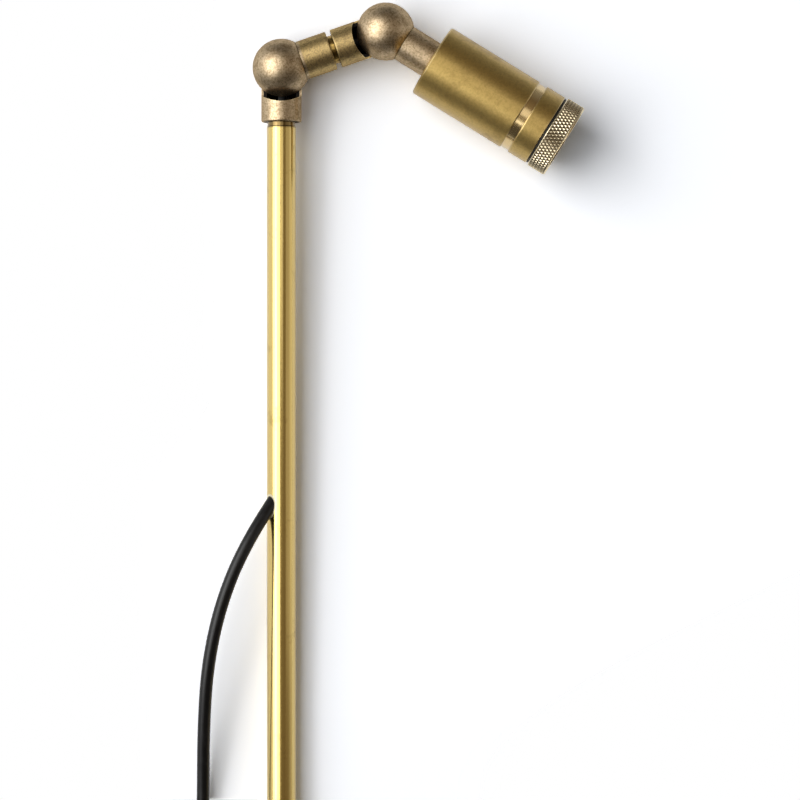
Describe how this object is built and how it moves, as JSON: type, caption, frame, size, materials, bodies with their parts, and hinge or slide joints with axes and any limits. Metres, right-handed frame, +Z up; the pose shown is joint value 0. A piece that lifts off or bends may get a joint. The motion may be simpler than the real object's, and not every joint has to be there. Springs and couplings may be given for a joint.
{
  "type": "spike bollard light",
  "caption": "Garden spike spotlight: slim brass pole on a ground spike, an arm with split ball joints, a barrel head with a knurled bezel, and a black lead with its spare length in a hank.",
  "frame": {"origin": "on the pole's axis at ground level, where the pole stands on the ground spike's flange", "axes": "+Z up along the pole, +X the way the arm and head reach, +Y away from the viewer of the picture; the tilt pivots lie along Y"},
  "size_m": [0.4072, 0.049, 0.6385],
  "materials": {
    "aged_brass": "satin, bead blasted and darkened",
    "brushed_brass": "satin, brushed and darkened",
    "polished_brass": "polished",
    "knurled_brass": "diamond knurled, polished tips",
    "steel": "bright stainless",
    "nylon_washer": "plain",
    "seal_rubber": "matte",
    "cable_rubber": "satin rubber",
    "lead_silicone": "satin silicone",
    "shrink_sleeve": "satin",
    "tie_nylon": "satin nylon",
    "core_insulation": "smooth",
    "copper": "bare stranded",
    "lamp_glass": "clear toughened",
    "lamp_reflector": "bright, facetted",
    "lamp_diffuser": "frosted",
    "ceramic": "unglazed"
  },
  "bodies": {
    "pole": {"pole_tube": "polished_brass", "ground_spike": "aged_brass", "spike_screw": "steel", "cable_sleeve": "seal_rubber", "cable_in_pole": "cable_rubber", "lead_splice": "shrink_sleeve", "lead_in_pole": "lead_silicone", "cable_lead": "cable_rubber", "cable_hank": "cable_rubber", "cable_tie": "tie_nylon", "cable_cores": "core_insulation", "core_tips": "copper"},
    "joint_base": {"lower_joint_base": "aged_brass", "base_grub_screw": "steel", "lower_friction_washer": "nylon_washer", "lead_in_lower_joint": "lead_silicone"},
    "arm": {"lower_joint_arm": "aged_brass", "lower_pivot_screw": "steel", "lower_spring_washer": "steel", "arm_nipple": "polished_brass", "nipple_grub_screw": "steel", "lead_in_arm": "lead_silicone"},
    "arm_end": {"upper_joint_arm": "aged_brass", "sleeve_grub_screw": "steel", "upper_friction_washer": "nylon_washer", "lead_in_upper_joint": "lead_silicone"},
    "head": {"upper_joint_head": "aged_brass", "upper_pivot_screw": "steel", "upper_spring_washer": "steel", "neck_seal": "seal_rubber", "neck_washer": "steel", "neck_nut": "polished_brass", "lead_seal": "seal_rubber", "lead_in_head": "lead_silicone", "barrel_rear": "brushed_brass", "barrel_coupler": "polished_brass", "barrel_front": "brushed_brass", "bezel_seal": "seal_rubber", "lamp_holder": "ceramic", "lamp_body": "lamp_reflector", "lamp_cover": "lamp_diffuser", "lamp_ring": "steel"},
    "glass": {"glass_gasket": "seal_rubber", "front_glass": "lamp_glass"},
    "bezel": {"bezel_ring": "knurled_brass"}
  },
  "joints": [
    {"name": "pole_swivel", "type": "hinge", "parent": "pole", "child": "joint_base", "pos_m": [0, 0, 0.428], "axis": [0, 0, 1], "range_deg": [-170, 170]},
    {"name": "lower_tilt", "type": "hinge", "parent": "joint_base", "child": "arm", "pos_m": [0, 0, 0.453], "axis": [0, 1, 0], "range_deg": [-160.8, 19.2], "deforming": ["lead_in_lower_joint"]},
    {"name": "arm_swivel", "type": "hinge", "parent": "arm", "child": "arm_end", "pos_m": [0.03343, 0, 0.46464], "axis": [0.9444, 0, 0.3289], "range_deg": [-170, 170]},
    {"name": "upper_tilt", "type": "hinge", "parent": "arm_end", "child": "head", "pos_m": [0.05666, 0, 0.47273], "axis": [0, 1, 0], "range_deg": [-140.9, 39.1], "deforming": ["lead_in_upper_joint"]},
    {"name": "bezel_travel", "type": "slide", "parent": "head", "child": "glass", "axis": [0.8508, 0, -0.5255], "range_m": [0, 0.006]},
    {"name": "bezel_turn", "type": "hinge", "parent": "glass", "child": "bezel", "pos_m": [0.1494, 0, 0.41546], "axis": [0.8508, 0, -0.5255], "range_deg": [0, 1440]}
  ],
  "couplings": [
    {"joint": "bezel_travel", "follows": "bezel_turn", "m_per_rad": 0.00023873}
  ]
}
